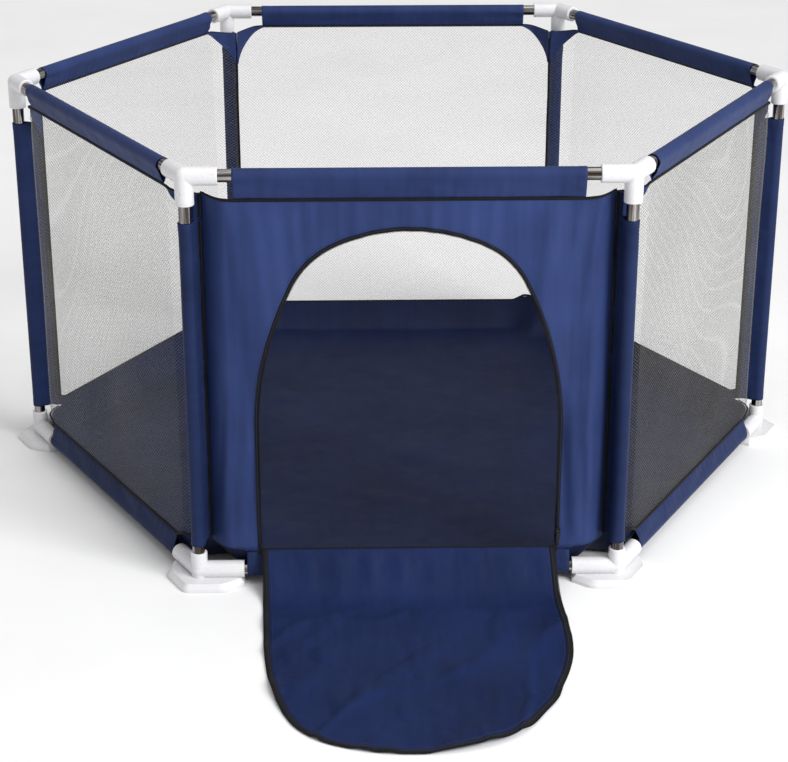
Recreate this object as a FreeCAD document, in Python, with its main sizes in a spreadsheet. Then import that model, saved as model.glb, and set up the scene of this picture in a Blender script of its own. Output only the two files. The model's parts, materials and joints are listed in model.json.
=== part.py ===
import FreeCAD, Part
import math
import os
import Sketcher

# Six-sided play yard. The origin is the middle of the yard on the floor, +Z is up and
# the door faces -Y. Sides are numbered from the door side round to the right, seen from
# above; corner K is the left end of side K, seen from outside. Every piece of a side is
# drawn at the door side and turned about Z; every corner piece is drawn at a corner on
# +X and turned about Z.

doc = FreeCAD.newDocument("PlayYard")
Vector = FreeCAD.Vector
Rotation = FreeCAD.Rotation
UP = Vector(0, 0, 1)

SIDES = range(1, 7)
TURN = 60
FIRST_CORNER = 240

DIMENSIONS = {
    # frame
    "side": 640,              # one side, corner to corner
    "top_rail": 647,          # height of the top rails' axes
    "low_rail": 22,           # height of the bottom rails' axes
    "tube_radius": 9.5,
    "tube_wall": 1.2,
    "fit_gap": 0.05,          # radial play of a tube in its socket
    "tube_stop": 12,          # from the corner's centre to the end of a tube
    # top connectors
    "arm_radius": 13.75,
    "arm_length": 48,
    "drop_arm": 43,
    "mouth_round": 1.6,
    "dimple_radius": 3.2,
    "dimple_depth": 0.8,
    "dimple_drop": 24,
    # feet
    "foot_out": 37,           # from a rail's axis out to the edge of the plate
    "foot_in": 13.5,          # from a rail's axis in to the edge of the plate
    "foot_reach": 69,         # along the rail, to the end of its socket
    "foot_cut": 40,           # along the rail, to where the plate's end is cut off
    "foot_tip_round": 14,     # radius of the plate's outer tip
    "foot_end_round": 26,     # radius where the plate's end is cut off
    "foot_plate": 12,
    "foot_lip": 5,            # upright edge of the plate
    "plate_slope": 6,         # how far the plate's top is drawn in above the lip
    "socket_radius": 13.5,
    "post_socket": 12.75,
    "foot_top": 52,
    # cloth pockets round the tubes
    "pocket_radius": 10.5,
    "pocket_play": 0.1,
    "tail_half": 1,           # half the thickness of two cloth layers sewn together
    "top_pocket_end": 68,     # from the corner to the end of the top pocket
    "low_pocket_end": 77,
    "top_seam": 615,
    "low_seam": 50,
    "post_pocket_low": 64,
    "post_pocket_top": 578,
    "post_seam": 22,          # from the post's axis in to the panel seam
    "post_tail": 39,          # from the post's axis in to the end of the seam allowance
    # wall panels
    "cloth": 1.2,
    "panel_bend": 262,        # from the middle of the side to where the panel turns in
    "panel_gap": 1.6,         # panel edge to the middle of the post's seam
    "notch_top": 627,
    "notch_low": 60,
    "notch_reach": 243,
    "gusset_along": 42,
    "gusset_down": 62,
    "floor_edge": 6,          # from the rails' plane in to the floor cloth's edge
    "floor_corner": 74,       # radius cleared round each foot
    # door
    "sill": 57,
    "door_half": 224,
    "door_spring": 250,       # where the straight sides of the opening end
    "door_break": 480,        # where the side curve meets the shoulder curve
    "door_top": 564,
    "side_bow": 520,
    "shoulder": 130,
    "zip_width": 8,
    "zip_thick": 1.4,
    # flap, lying open over the bottom rail and out on the floor
    "flap_hinge_out": 1.7,    # from the rails' plane out to the flap's upper hinge line
    "flap_fold_out": 31.7,    # the same, to the fold at the floor
    "flap_fold_z": 1.2,
    "flap_thick": 1.4,
    "flap_gap": 1,            # between the flap's edge and the opening's edge
    "flap_tape": 12,
    "tape_thick": 0.8,
    # zip slider and its pull
    "slider_x": 227.6,
    "slider_z": 82,
    "slider_width": 8,
    "slider_height": 11,
    "slider_thick": 3,
    "slider_out": 3.2,        # from the rails' plane out to the slider's back
    "bridge_out": 2,          # from the slider's face out to the bridge's axis
    "pull_width": 4.6,
    "pull_length": 21,
    "pull_thick": 1.4,
    "ring_wall": 0.9,
}

sheet = doc.addObject("Spreadsheet::Sheet", "dims")
for row, (alias, number) in enumerate(DIMENSIONS.items(), start=1):
    sheet.set(f"A{row}", alias)
    sheet.set(f"B{row}", str(number))
    sheet.setAlias(f"B{row}", alias)
doc.recompute()

APOTHEM = "(dims.side * cos(30))"


def value(expression):
    """What an expression over the sheet comes to now."""
    return float(sheet.evalExpression(expression))


def bind(thing, **sizes):
    """Bind properties of an object to expressions over the sheet."""
    for name, expression in sizes.items():
        thing.setExpression(name, expression)


def put(thing, x="0", y="0", z="0"):
    """Bind the place of an object to expressions over the sheet."""
    for axis, expression in zip("xyz", (x, y, z)):
        if expression != "0":
            thing.setExpression(f".Placement.Base.{axis}", expression)


# ---------------------------------------------------------------- sketches and solids

def new_sketch(body, plane):
    """An empty sketch on one of the body's own origin planes."""
    sketch = body.newObject("Sketcher::SketchObject", body.Name + "Sketch")
    support = next(item for item in body.Origin.OriginFeatures if item.Role == plane)
    sketch.AttachmentSupport = [(support, "")]
    sketch.MapMode = "FlatFace"
    return sketch


def pin_point(sketch, edge, end, point):
    """Hold one end of an edge at a pair of expressions."""
    for kind, expression in zip(("DistanceX", "DistanceY"), point):
        made = sketch.addConstraint(
            Sketcher.Constraint(kind, -1, 1, edge, end, value(expression)))
        sketch.setExpression(f"Constraints[{made}]", expression)


def arc_edge(start, end, radius, large):
    """The arc that turns left from start to end."""
    chord = end - start
    half = chord.Length / 2
    rise = math.sqrt(max(radius * radius - half * half, 0))
    left = Vector(-chord.y, chord.x, 0).normalize()
    centre = start + chord * 0.5 + left * (-rise if large else rise)
    circle = Part.Circle(centre, UP, radius)
    return Part.ArcOfCircle(circle, circle.parameter(start), circle.parameter(end))


def draw_outline(sketch, corners, arcs=None):
    """A closed outline. arcs maps an edge's number to (radius, large); such an edge
    turns left, so the corners run anticlockwise."""
    arcs = arcs or {}
    places = [Vector(value(x), value(y), 0) for x, y in corners]
    first = len(sketch.Geometry)
    for edge, start in enumerate(places):
        end = places[(edge + 1) % len(places)]
        if edge in arcs:
            radius, large = arcs[edge]
            sketch.addGeometry(arc_edge(start, end, value(radius), large))
        else:
            sketch.addGeometry(Part.LineSegment(start, end))
    for edge, point in enumerate(corners):
        after = first + (edge + 1) % len(corners)
        sketch.addConstraint(Sketcher.Constraint("Coincident", first + edge, 2, after, 1))
        pin_point(sketch, first + edge, 1, point)
    for edge, (radius, _large) in arcs.items():
        made = sketch.addConstraint(
            Sketcher.Constraint("Radius", first + edge, value(radius)))
        sketch.setExpression(f"Constraints[{made}]", radius)


def draw_circle(sketch, centre, radius):
    """A circle whose centre is a pair of expressions."""
    middle = Vector(value(centre[0]), value(centre[1]), 0)
    edge = sketch.addGeometry(Part.Circle(middle, UP, value(radius)))
    pin_point(sketch, edge, 3, centre)
    made = sketch.addConstraint(Sketcher.Constraint("Radius", edge, value(radius)))
    sketch.setExpression(f"Constraints[{made}]", radius)


def pad_body(name, plane, length, corners, arcs=None, holes=(), both_ways=False):
    """A body with one sketch, padded by an expression; holes are (corners, arcs)."""
    body = doc.addObject("PartDesign::Body", name)
    sketch = new_sketch(body, plane)
    draw_outline(sketch, corners, arcs)
    for hole_corners, hole_arcs in holes:
        draw_outline(sketch, hole_corners, hole_arcs)
    return finish_pad(body, sketch, length, both_ways)


def finish_pad(body, sketch, length, both_ways=False):
    """Pad a body's sketch by an expression."""
    pad = body.newObject("PartDesign::Pad", body.Name + "Pad")
    pad.Profile = sketch
    bind(pad, Length=length)
    if both_ways:
        pad.SideType = "Symmetric"
    sketch.Visibility = False
    return body


def tube_body(name, plane, length, centre=("0", "0"), both_ways=False):
    """A round steel tube, its wall from the sheet."""
    body = doc.addObject("PartDesign::Body", name)
    sketch = new_sketch(body, plane)
    draw_circle(sketch, centre, "dims.tube_radius")
    draw_circle(sketch, centre, "dims.tube_radius - dims.tube_wall")
    return finish_pad(body, sketch, length, both_ways)


def rod(name, radius, length, rotation=None, x="0", y="0", z="0"):
    """A solid cylinder from a point, along the turned +Z axis."""
    cylinder = doc.addObject("Part::Cylinder", name)
    bind(cylinder, Radius=radius, Height=length)
    if rotation:
        cylinder.Placement.Rotation = rotation
    put(cylinder, x, y, z)
    return cylinder


def block(name, length, width, height, x, y, z):
    """A box from its lowest corner."""
    box = doc.addObject("Part::Box", name)
    bind(box, Length=length, Width=width, Height=height)
    put(box, x, y, z)
    return box


def join(name, pieces):
    """Several solids fused into one."""
    fused = doc.addObject("Part::MultiFuse", name)
    fused.Shapes = pieces
    fused.Refine = True
    return fused


def combine(name, kind, base, tool):
    """The cut or the common of two solids."""
    made = doc.addObject(kind, name)
    made.Base = base
    made.Tool = tool
    return made


def group(name, pieces):
    """Separate solids that share one node."""
    made = doc.addObject("Part::Compound", name)
    made.Links = pieces
    return made


# ---------------------------------------------------------------- places

sub_parts = []


def keep(thing, label, turn=0):
    """Name a finished sub-part and turn it to its side or corner."""
    thing.Label = label
    thing.Placement.Rotation = Rotation(UP, turn)
    sub_parts.append(thing)
    return thing


def side_turn(side):
    """How far a piece drawn at the door side turns to reach this side."""
    return TURN * (side - 1)


def corner_turn(corner):
    """How far a piece drawn at the corner on +X turns to reach this corner."""
    return FIRST_CORNER + TURN * (corner - 1)


def along_rail(turn):
    """Turns +Z to lie along one of the two rails that leave the corner on +X."""
    return Rotation(UP, turn).multiply(Rotation(Vector(0, 1, 0), 90))


RAIL_TURNS = (120, -120)


# ---------------------------------------------------------------- the frame

def top_rail(side):
    body = tube_body(f"TopRail{side}", "YZ_Plane", "dims.side - 2 * dims.tube_stop",
                     (f"-{APOTHEM}", "dims.top_rail"), both_ways=True)
    keep(body, f"top_rail_{side}", side_turn(side))


def bottom_rail(side):
    body = tube_body(f"BottomRail{side}", "YZ_Plane", "dims.side - 2 * dims.tube_stop",
                     (f"-{APOTHEM}", "dims.low_rail"), both_ways=True)
    keep(body, f"bottom_rail_{side}", side_turn(side))


def post(corner):
    """An upright tube, from the foot's socket floor to the connector's stop."""
    body = tube_body(f"Post{corner}", "XY_Plane",
                     "dims.top_rail - dims.tube_stop - dims.foot_plate",
                     ("dims.side", "0"))
    shifted = doc.addObject("Part::Compound", f"PostPlace{corner}")
    put(body, z="dims.foot_plate")
    shifted.Links = [body]
    keep(shifted, f"post_{corner}", corner_turn(corner))


def sockets(prefix, corner, start, z):
    """The two rail bores of a corner piece, from the tubes' stop outwards."""
    bores = []
    for turn in RAIL_TURNS:
        bore = rod(f"{prefix}Bore{corner}_{len(bores)}",
                   "dims.tube_radius + dims.fit_gap", "dims.arm_length * 2",
                   along_rail(turn),
                   f"dims.side + {start} * cos({turn})", f"{start} * sin({turn})", z)
        bores.append(bore)
    return bores


def mouth_edges(shape, radius):
    """Round outer edges of the sockets' mouths."""
    found = []
    for index, edge in enumerate(shape.Edges, start=1):
        if edge.Degenerated or not edge.isClosed():
            continue
        if isinstance(edge.Curve, Part.Circle) and abs(edge.Curve.Radius - radius) < 0.01:
            found.append(index)
    return found


def top_connector(corner):
    """Three sockets that meet at a ball: two for the rails, one down for the post."""
    centre = doc.addObject("Part::Sphere", f"Ball{corner}")
    bind(centre, Radius="dims.arm_radius")
    put(centre, x="dims.side", z="dims.top_rail")
    arms = [rod(f"Arm{corner}_{side}", "dims.arm_radius", "dims.arm_length",
                along_rail(turn), x="dims.side", z="dims.top_rail")
            for side, turn in enumerate(RAIL_TURNS)]
    drop = rod(f"DropArm{corner}", "dims.arm_radius", "dims.drop_arm",
               x="dims.side", z="dims.top_rail - dims.drop_arm")
    bores = sockets("Top", corner, "dims.tube_stop", "dims.top_rail")
    bores.append(rod(f"DropBore{corner}", "dims.tube_radius + dims.fit_gap",
                     "dims.drop_arm", x="dims.side",
                     z="dims.top_rail - dims.tube_stop - dims.drop_arm"))
    bores.append(rod(f"Dimple{corner}", "dims.dimple_radius", "dims.arm_radius",
                     Rotation(Vector(0, 1, 0), 90),
                     x="dims.side + dims.arm_radius - dims.dimple_depth",
                     z="dims.top_rail - dims.dimple_drop"))
    whole = join(f"ConnectorBody{corner}", [centre, drop] + arms)
    hollow = combine(f"ConnectorHollow{corner}", "Part::Cut", whole,
                     join(f"ConnectorBores{corner}", bores))
    doc.recompute()
    rounded = doc.addObject("Part::Fillet", f"Connector{corner}")
    rounded.Base = hollow
    size = value("dims.mouth_round")
    edges = mouth_edges(hollow.Shape, value("dims.arm_radius"))
    rounded.Edges = [(edge, size, size) for edge in edges]
    keep(rounded, f"top_connector_{corner}", corner_turn(corner))


def foot_point(along, out, mirror=1):
    """A point beside a rail: a distance along it and a distance out from its axis."""
    x = f"dims.side - ({along}) * cos(60) + ({out}) * sin(60)"
    y = f"({along}) * sin(60) + ({out}) * cos(60)"
    return (x, y if mirror > 0 else f"-({y})")


def foot_outline(shrink):
    """The plate seen from above, and its arcs: edges along both rails that meet in a
    rounded tip, with the ends cut off on a slant."""
    out = f"(dims.foot_out - {shrink})"
    cut = f"(dims.foot_cut - {shrink} * 0.6)"
    reach = f"(dims.foot_reach - {shrink})"
    tip_round = f"(dims.foot_tip_round - {shrink})"
    end_round = f"(dims.foot_end_round - {shrink})"
    slant = f"atan(({out} - dims.foot_in) / ({reach} - {cut}))"
    bend = f"({end_round} * tan({slant} / 2))"
    tip_run = f"({tip_round} * tan(30) - {out} / tan(60))"
    edge = [(tip_run, out), (f"{cut} - {bend}", out),
            (f"{cut} + {bend} * cos({slant})", f"{out} - {bend} * sin({slant})"),
            (reach, "dims.foot_in"), (reach, "-dims.foot_in")]
    one = [foot_point(along, away) for along, away in edge]
    other = [foot_point(along, away, -1) for along, away in reversed(edge)]
    inner = ("dims.side - dims.foot_in / sin(60)", "0")
    arcs = {1: (end_round, False), 8: (end_round, False), 10: (tip_round, False)}
    return one + [inner] + other, arcs


def foot(corner):
    """A flat plate with a lip and a drawn-in top, two rail sockets and a post socket."""
    lip = pad_body(f"FootLip{corner}", "XY_Plane", "dims.foot_lip", *foot_outline("0"))
    crown = doc.addObject("PartDesign::Body", f"FootCrown{corner}")
    lower = new_sketch(crown, "XY_Plane")
    draw_outline(lower, *foot_outline("0"))
    upper = new_sketch(crown, "XY_Plane")
    upper.setExpression(".AttachmentOffset.Base.z", "dims.foot_plate - dims.foot_lip")
    draw_outline(upper, *foot_outline("dims.plate_slope"))
    loft = crown.newObject("PartDesign::AdditiveLoft", f"FootLoft{corner}")
    loft.Profile = lower
    loft.Sections = [upper]
    loft.Ruled = True
    put(crown, z="dims.foot_lip")
    arms = [rod(f"FootArm{corner}_{side}", "dims.socket_radius", "dims.foot_reach",
                along_rail(turn), x="dims.side", z="dims.low_rail")
            for side, turn in enumerate(RAIL_TURNS)]
    upright = rod(f"FootUpright{corner}", "dims.post_socket",
                  "dims.foot_top - dims.foot_lip", x="dims.side", z="dims.foot_lip")
    centre = doc.addObject("Part::Sphere", f"FootBall{corner}")
    bind(centre, Radius="dims.socket_radius")
    put(centre, x="dims.side", z="dims.low_rail")
    bores = sockets("Foot", corner, "dims.tube_stop", "dims.low_rail")
    bores.append(rod(f"FootPostBore{corner}", "dims.tube_radius + dims.fit_gap",
                     "dims.foot_top", x="dims.side", z="dims.foot_plate"))
    whole = join(f"FootBody{corner}", [lip, crown, upright, centre] + arms)
    hollow = combine(f"FootHollow{corner}", "Part::Cut", whole,
                     join(f"FootBores{corner}", bores))
    doc.recompute()
    rounded = doc.addObject("Part::Fillet", f"Foot{corner}")
    rounded.Base = hollow
    size = value("dims.mouth_round")
    edges = mouth_edges(hollow.Shape, value("dims.post_socket"))
    rounded.Edges = [(edge, size, size) for edge in edges]
    keep(rounded, f"foot_{corner}", corner_turn(corner))


# ---------------------------------------------------------------- cloth pockets

def rail_pocket(name, rail, seam, end):
    """A pocket round a rail at the door side, from the rail to its seam."""
    upward = value(seam) > value(rail)
    drop = f"({seam} - {rail})" if upward else f"({rail} - {seam})"
    lean = f"(dims.pocket_radius * dims.pocket_radius / {drop})"
    wide = f"sqrt(dims.pocket_radius * dims.pocket_radius - {lean} * {lean})"
    sign = "+" if upward else "-"
    turn_z = f"{rail} {sign} {lean}"
    near = f"-{APOTHEM} - {wide}"
    far = f"-{APOTHEM} + {wide}"
    seam_near = f"-{APOTHEM} - dims.tail_half"
    seam_far = f"-{APOTHEM} + dims.tail_half"
    if upward:
        corners = [(near, turn_z), (far, turn_z), (seam_far, seam), (seam_near, seam)]
    else:
        corners = [(far, turn_z), (near, turn_z), (seam_near, seam), (seam_far, seam)]
    body = doc.addObject("PartDesign::Body", name)
    sketch = new_sketch(body, "YZ_Plane")
    draw_outline(sketch, corners, {0: ("dims.pocket_radius", True)})
    draw_circle(sketch, (f"-{APOTHEM}", rail), "dims.tube_radius + dims.pocket_play")
    return finish_pad(body, sketch, f"dims.side - 2 * {end}", both_ways=True)


def top_sleeve(side):
    body = rail_pocket(f"TopSleeve{side}", "dims.top_rail", "dims.top_seam",
                       "dims.top_pocket_end")
    keep(body, f"top_sleeve_{side}", side_turn(side))


def bottom_sleeves():
    """The six bottom pockets, which share one node."""
    pieces = []
    for side in SIDES:
        body = rail_pocket(f"BottomSleeve{side}", "dims.low_rail", "dims.low_seam",
                           "dims.low_pocket_end")
        body.Placement.Rotation = Rotation(UP, side_turn(side))
        pieces.append(body)
    keep(group("BottomSleeves", pieces), "bottom_sleeves")


def post_sleeve(corner):
    """A pocket round a post, with its seam allowance pointing to the yard's middle."""
    lean = "(dims.pocket_radius * dims.pocket_radius / dims.post_seam)"
    wide = f"sqrt(dims.pocket_radius * dims.pocket_radius - {lean} * {lean})"
    turn_x = f"dims.side - {lean}"
    seam_x = "dims.side - dims.post_seam"
    tail_x = "dims.side - dims.post_tail"
    half = "dims.tail_half"
    body = doc.addObject("PartDesign::Body", f"PostSleeve{corner}")
    sketch = new_sketch(body, "XY_Plane")
    draw_outline(sketch,
                 [(turn_x, f"-{wide}"), (turn_x, wide), (seam_x, half), (tail_x, half),
                  (tail_x, f"-{half}"), (seam_x, f"-{half}")],
                 {0: ("dims.pocket_radius", True)})
    draw_circle(sketch, ("dims.side", "0"), "dims.tube_radius + dims.pocket_play")
    finish_pad(body, sketch, "dims.post_pocket_top - dims.post_pocket_low")
    put(body, z="dims.post_pocket_low")
    keep(group(f"PostSleevePlace{corner}", [body]), f"post_sleeve_{corner}",
         corner_turn(corner))


# ---------------------------------------------------------------- wall panels and floor

JOIN_X = "(dims.side / 2 - dims.post_seam * cos(60) - dims.panel_gap * sin(60))"
JOIN_Y = f"({APOTHEM} - dims.post_seam * sin(60) + dims.panel_gap * cos(60))"


def panel_plan(side):
    """The panel seen from above: flat in the rails' plane, turned in at both posts."""
    half = "dims.cloth / 2"
    front = [("-" + JOIN_X, f"-{JOIN_Y} - {half}"),
             ("-dims.panel_bend", f"-{APOTHEM} - {half}"),
             ("dims.panel_bend", f"-{APOTHEM} - {half}"),
             (JOIN_X, f"-{JOIN_Y} - {half}")]
    back = [(x, y.replace(f"- {half}", f"+ {half}")) for x, y in reversed(front)]
    body = pad_body(f"PanelPlan{side}", "XY_Plane", "dims.notch_top - dims.low_seam",
                    front + back)
    put(body, z="dims.low_seam")
    return body


def panel_face(side, holes=()):
    """The panel seen from outside, with its notched corners."""
    wide = "dims.side / 2"
    corners = [("-dims.notch_reach", "dims.low_seam"), ("dims.notch_reach", "dims.low_seam"),
               ("dims.notch_reach + 12", "dims.low_seam + 10"), (wide, "dims.notch_low"),
               (wide, "dims.notch_top"), ("dims.side / 2 - dims.top_pocket_end",
                                          "dims.top_seam"),
               ("dims.top_pocket_end - dims.side / 2", "dims.top_seam"),
               ("-" + wide, "dims.notch_top"), ("-" + wide, "dims.notch_low"),
               ("-dims.notch_reach - 12", "dims.low_seam + 10")]
    body = pad_body(f"PanelFace{side}", "XZ_Plane", "dims.tube_radius * 8", corners,
                    holes=holes, both_ways=True)
    put(body, y=f"-{APOTHEM}")
    return body


def arch(inset, base):
    """The door's outline, drawn in by inset from the opening's edge and cut off below
    at base: straight sides, a long side curve, a shoulder and a crown, all tangent."""
    half = f"(dims.door_half - {inset})"
    bow = f"(dims.side_bow - {inset})"
    rise = f"((dims.door_break - dims.door_spring) * {bow} / dims.side_bow)"
    run = f"sqrt({bow} * {bow} - {rise} * {rise})"
    round_ = f"(dims.shoulder - {inset})"
    top = f"(dims.door_top - {inset})"
    centre_x = f"({half} - {bow} + {run} * (1 - {round_} / {bow}))"
    centre_z = f"(dims.door_spring + {rise} * (1 - {round_} / {bow}))"
    drop = f"({top} - {centre_z})"
    crown = (f"(({centre_x} * {centre_x} + {drop} * {drop} - {round_} * {round_})"
             f" / (2 * ({drop} - {round_})))")
    share = f"({crown} / ({crown} - {round_}))"
    break_point = (f"({half} - {bow} + {run})", f"dims.door_spring + {rise}")
    crown_point = (f"({centre_x} * {share})",
                   f"{top} - {crown} + ({crown} - {drop}) * {share}")
    right = [(half, base), (half, "dims.door_spring"), break_point, crown_point]
    left = [("-" + x, z) for x, z in reversed(right)]
    arcs = {1: (bow, False), 2: (round_, False), 3: (crown, False),
            4: (round_, False), 5: (bow, False)}
    return right + left, arcs


def net_panel(side):
    panel = combine(f"NetPanel{side}", "Part::Common", panel_plan(side), panel_face(side))
    keep(panel, f"net_panel_{side}", side_turn(side))


def door_panel():
    """The solid cloth wall with the arched opening."""
    face = panel_face(1, holes=[arch("0", "dims.sill")])
    keep(combine("DoorPanel", "Part::Common", panel_plan(1), face), "door_panel")


def corner_gussets():
    """Cloth triangles inside the top corners of the net panels."""
    pieces = []
    for side in SIDES[1:]:
        for hand in (1, -1):
            outer = f"{hand} * dims.panel_bend"
            inner = f"{hand} * (dims.panel_bend - dims.gusset_along)"
            top = "dims.top_seam - dims.cloth"
            corners = [(inner, top), (outer, top), (outer, f"{top} - dims.gusset_down")]
            if hand > 0:
                corners.reverse()
            body = pad_body(f"Gusset{side}_{len(pieces)}", "XZ_Plane", "dims.cloth",
                            corners, both_ways=True)
            put(body, y=f"-{APOTHEM} + dims.cloth * 1.3")
            place = group(f"GussetPlace{side}_{len(pieces)}", [body])
            place.Placement.Rotation = Rotation(UP, side_turn(side))
            pieces.append(place)
    keep(group("CornerGussets", pieces), "corner_gussets")


def floor_cloth():
    """The floor sheet, cut back round the six feet."""
    plate = doc.addObject("Part::Prism", "FloorPlate")
    plate.Polygon = 6
    bind(plate, Circumradius="dims.side - dims.floor_edge / cos(30)", Height="dims.cloth")
    cuts = []
    for corner in SIDES:
        turn = corner_turn(corner)
        cuts.append(rod(f"FloorCut{corner}", "dims.floor_corner", "dims.cloth * 4",
                        x=f"dims.side * cos({turn})", y=f"dims.side * sin({turn})",
                        z="-dims.cloth"))
    keep(combine("FloorCloth", "Part::Cut", plate, join("FloorCuts", cuts)), "floor_cloth")


# ---------------------------------------------------------------- the door

def door_zip():
    """Half of the zip, with its tape, round the opening on the panel's outside."""
    outer, outer_arcs = arch("(-dims.zip_width)", "dims.sill")
    body = pad_body("DoorZip", "XZ_Plane", "dims.zip_thick", outer, outer_arcs,
                    holes=[zip_gap()], both_ways=True)
    put(body, y=f"-{APOTHEM} - dims.cloth / 2 - dims.zip_thick / 2")
    gap = block("ZipFoot", "2 * dims.door_half", "dims.tube_radius * 2", "dims.zip_width",
                "-dims.door_half", f"-{APOTHEM} - dims.tube_radius", "dims.sill - 1")
    keep(combine("DoorZipTape", "Part::Cut", body, gap), "door_zip")


def zip_gap():
    """The opening inside the zip's tape, closed a little above the sill."""
    return arch("0", "dims.sill + 1")


FLAP_STRIP = ("sqrt(pow(dims.flap_fold_out - dims.flap_hinge_out, 2)"
              " + pow(dims.sill - dims.flap_fold_z, 2))")
FLAP_LEAN = ("atan((dims.flap_fold_out - dims.flap_hinge_out)"
             " / (dims.sill - dims.flap_fold_z))")


def flap_strip():
    """The top of the flap, which hangs from the sill down in front of the rail."""
    strip = block("FlapStrip", "2 * (dims.door_half - dims.flap_gap)", "dims.flap_thick",
                  f"{FLAP_STRIP} - 2 * dims.flap_gap",
                  "dims.flap_gap - dims.door_half", "-dims.flap_thick / 2",
                  f"dims.flap_gap - {FLAP_STRIP}")
    place = group("FlapStripPlace", [strip])
    keep(place, "flap_strip")
    place.Placement.Rotation = Rotation(Vector(-1, 0, 0), value(FLAP_LEAN))
    put(place, y=f"-{APOTHEM} - dims.flap_hinge_out", z="dims.sill")


def lay_down(body, lift):
    """Turn a door-shaped body from standing in the opening to lying on the floor."""
    body.Placement.Rotation = Rotation(Vector(1, 0, 0), 90)
    put(body, y=f"-{APOTHEM} - dims.flap_fold_out + dims.sill + {FLAP_STRIP}",
        z=f"dims.flap_fold_z + {lift}")


def door_flap():
    """The rest of the flap, flat on the floor in front of the rail."""
    corners, arcs = arch("dims.flap_gap", f"dims.sill + {FLAP_STRIP} + dims.flap_gap")
    body = pad_body("DoorFlap", "XZ_Plane", "dims.flap_thick", corners, arcs,
                    both_ways=True)
    keep(body, "door_flap")
    lay_down(body, "0")


def flap_zip():
    """The flap's half of the zip, round its edge."""
    base = f"dims.sill + {FLAP_STRIP} + dims.flap_gap"
    outer, outer_arcs = arch("dims.flap_gap", base)
    inner = arch("(dims.flap_gap + dims.flap_tape)", f"{base} + 1")
    body = pad_body("FlapZip", "XZ_Plane", "dims.tape_thick", outer, outer_arcs,
                    holes=[inner], both_ways=True)
    bar = block("FlapZipFoot", "2 * (dims.door_half - dims.flap_gap - dims.flap_tape)",
                "dims.tube_radius * 2", "dims.flap_tape",
                "dims.flap_gap + dims.flap_tape - dims.door_half", "-dims.tube_radius",
                f"{base} - dims.flap_tape + 2")
    tape = combine("FlapZipTape", "Part::Cut", body, bar)
    keep(tape, "flap_zip")
    lay_down(tape, "dims.flap_thick / 2 + dims.tape_thick / 2 + 0.05")


BRIDGE_Y = f"(-{APOTHEM} - dims.slider_out - dims.slider_thick - dims.bridge_out)"
BRIDGE_Z = "(dims.slider_z + 3)"
ACROSS = Rotation(Vector(0, 1, 0), 90)


def zip_slider():
    """The slider: a body on the tape with a bridge that holds the pull."""
    face = f"-{APOTHEM} - dims.slider_out - dims.slider_thick"
    left = "dims.slider_x - dims.slider_width / 2"
    plate = block("SliderPlate", "dims.slider_width", "dims.slider_thick",
                  "dims.slider_height", left, face,
                  "dims.slider_z - dims.slider_height / 2")
    rounded = doc.addObject("Part::Fillet", "SliderRounded")
    rounded.Base = plate
    rounded.Edges = [(edge, 1.2, 1.2) for edge in range(1, 13)]
    bridge = rod("SliderBridge", "dims.pull_thick / 2", "dims.slider_width - 1", ACROSS,
                 x=f"{left} + 0.5", y=BRIDGE_Y, z=BRIDGE_Z)
    lugs = [block(f"SliderLug{hand}", "1", "dims.bridge_out + dims.pull_thick",
                  "dims.pull_thick", f"{left} + {start}",
                  f"{BRIDGE_Y} - dims.pull_thick / 2",
                  f"{BRIDGE_Z} - dims.pull_thick / 2")
            for hand, start in (("Left", "0.5"), ("Right", "dims.slider_width - 1.5"))]
    keep(join("ZipSlider", [rounded, bridge] + lugs), "zip_slider")


def zip_pull():
    """The pull: a ring round the slider's bridge, with a flat tab below it."""
    left = "dims.slider_x - dims.pull_width / 2"
    ring = rod("PullRing", "dims.pull_thick / 2 + dims.ring_wall", "dims.pull_width",
               ACROSS, x=left, y=BRIDGE_Y, z=BRIDGE_Z)
    tab = block("PullTab", "dims.pull_width", "dims.pull_thick", "dims.pull_length",
                left, f"{BRIDGE_Y} - dims.pull_thick / 2",
                f"{BRIDGE_Z} - dims.pull_length")
    hole = rod("PullHole", "dims.pull_thick / 2 + dims.fit_gap", "dims.pull_width * 2",
               ACROSS, x="dims.slider_x - dims.pull_width", y=BRIDGE_Y, z=BRIDGE_Z)
    keep(combine("ZipPull", "Part::Cut", join("PullWhole", [ring, tab]), hole),
         "zip_pull")


# ---------------------------------------------------------------- build and write

for number in SIDES:
    top_connector(number)
    foot(number)
    top_rail(number)
    bottom_rail(number)
    post(number)
    top_sleeve(number)
    post_sleeve(number)
for number in SIDES[1:]:
    net_panel(number)
bottom_sleeves()
door_panel()
corner_gussets()
floor_cloth()
door_zip()
flap_strip()
door_flap()
flap_zip()
zip_slider()
zip_pull()
doc.recompute()

for thing in doc.Objects:
    if "Invalid" in thing.State or "Error" in thing.State:
        raise RuntimeError(f"{thing.Label} ({thing.Name}) failed: {thing.State}")
for thing in sub_parts:
    if thing.Shape.isNull() or not thing.Shape.isValid():
        raise RuntimeError(f"{thing.Label} has no valid shape")

os.makedirs("parts", exist_ok=True)
for thing in sub_parts:
    thing.Shape.exportStep(f"parts/{thing.Label}.step")
    print(thing.Label, len(thing.Shape.Solids), round(thing.Shape.Volume))
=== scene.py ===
import json
import math

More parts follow.
